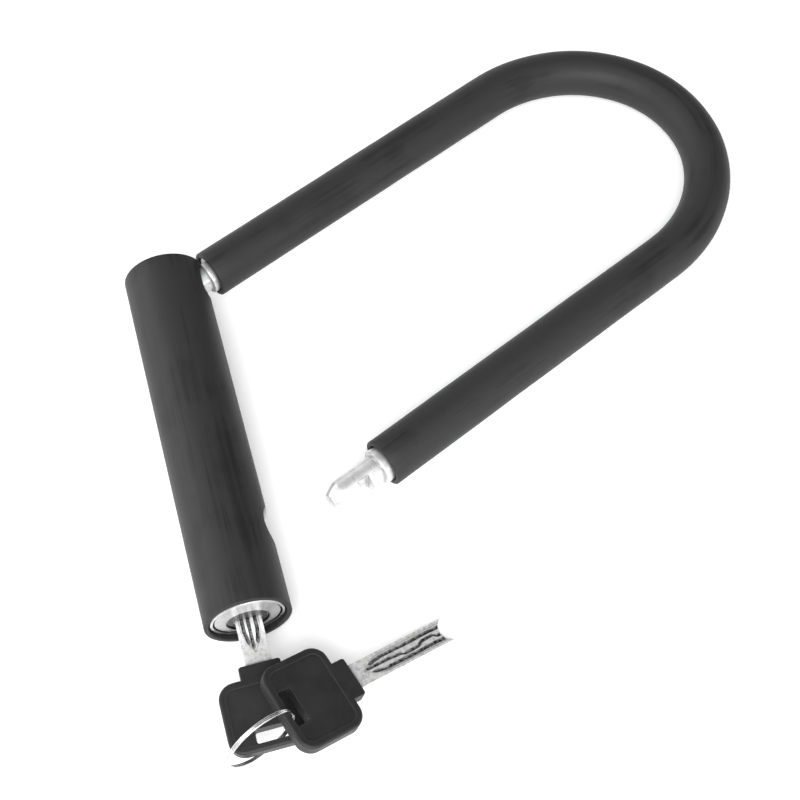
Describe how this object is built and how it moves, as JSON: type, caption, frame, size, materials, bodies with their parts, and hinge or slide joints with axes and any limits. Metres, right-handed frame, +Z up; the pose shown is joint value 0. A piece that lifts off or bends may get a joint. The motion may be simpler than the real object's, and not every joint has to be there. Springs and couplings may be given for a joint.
{
  "type": "u lock",
  "caption": "Open U lock: covered shackle that turns on a cross pin, covered crossbar with an end cylinder, a key in the keyway and a spare key on the same ring.",
  "frame": {"origin": "centre of the open assembly's bounding box, on the surface it lies on", "axes": "+Z up from the surface; +X along the crossbar towards the keyhole; +Y towards the shackle's bend"},
  "size_m": [0.2598, 0.248, 0.0341],
  "materials": {
    "vinyl": "satin soft vinyl",
    "chrome": "bright plated",
    "steel": "fine turned",
    "zinc": "satin plated die casting",
    "brass": "turned",
    "nickel": "satin nickel plate",
    "head_plastic": "fine moulded grain"
  },
  "bodies": {
    "crossbar": {"bolt_guide": "zinc", "bolt_spring": "steel", "crossbar_cover": "vinyl", "crossbar_tube": "steel", "cylinder_housing": "zinc", "driver_pin_1": "steel", "driver_pin_2": "steel", "driver_pin_3": "steel", "driver_pin_4": "steel", "driver_pin_5": "steel", "end_cap": "steel", "foot_pin": "steel", "guide_pin": "steel", "housing_pin": "steel", "pin_spring_1": "steel", "pin_spring_2": "steel", "pin_spring_3": "steel", "pin_spring_4": "steel", "pin_spring_5": "steel"},
    "plug": {"plug": "zinc", "cam": "steel", "cam_screw": "steel", "key_pin_1": "brass", "key_pin_2": "brass", "key_pin_3": "brass", "key_pin_4": "brass", "key_pin_5": "brass"},
    "bolt": {"bolt": "steel"},
    "shackle": {"shackle_rod": "chrome", "shackle_sleeve": "vinyl"},
    "key": {"key_blade": "nickel", "key_head": "head_plastic"},
    "ring": {"key_ring": "chrome"},
    "spare_key": {"spare_key_blade": "nickel", "spare_key_head": "head_plastic"}
  },
  "joints": [
    {"name": "shackle_swing", "type": "hinge", "parent": "crossbar", "child": "shackle", "pos_m": [-0.05773, -0.10129, 0.01486], "axis": [0, 0.0269, 0.9996], "range_deg": [-23.92, 0]},
    {"name": "plug_turn", "type": "hinge", "parent": "crossbar", "child": "plug", "pos_m": [0.07097, -0.10675, 0.01241], "axis": [1, 0, 0], "range_deg": [0, 90]},
    {"name": "bolt_throw", "type": "slide", "parent": "crossbar", "child": "bolt", "axis": [-1, 0, 0], "range_m": [0, 0.0033]},
    {"name": "key_slide", "type": "slide", "parent": "plug", "child": "key", "axis": [1, 0, 0], "range_m": [0, 0.038]},
    {"name": "ring_turn", "type": "hinge", "parent": "key", "child": "ring", "pos_m": [0.1214, -0.11157, 0.02092], "axis": [0.9225, 0.3834, 0.0447], "continuous": true},
    {"name": "spare_key_lift", "type": "hinge", "parent": "key", "child": "spare_key", "pos_m": [0.11546, -0.10134, 0.02164], "axis": [0.9537, 0.3003, -0.0154], "range_deg": [0, 4]}
  ],
  "couplings": [
    {"joint": "bolt_throw", "follows": "plug_turn", "m_per_rad": 0.0021009}
  ]
}
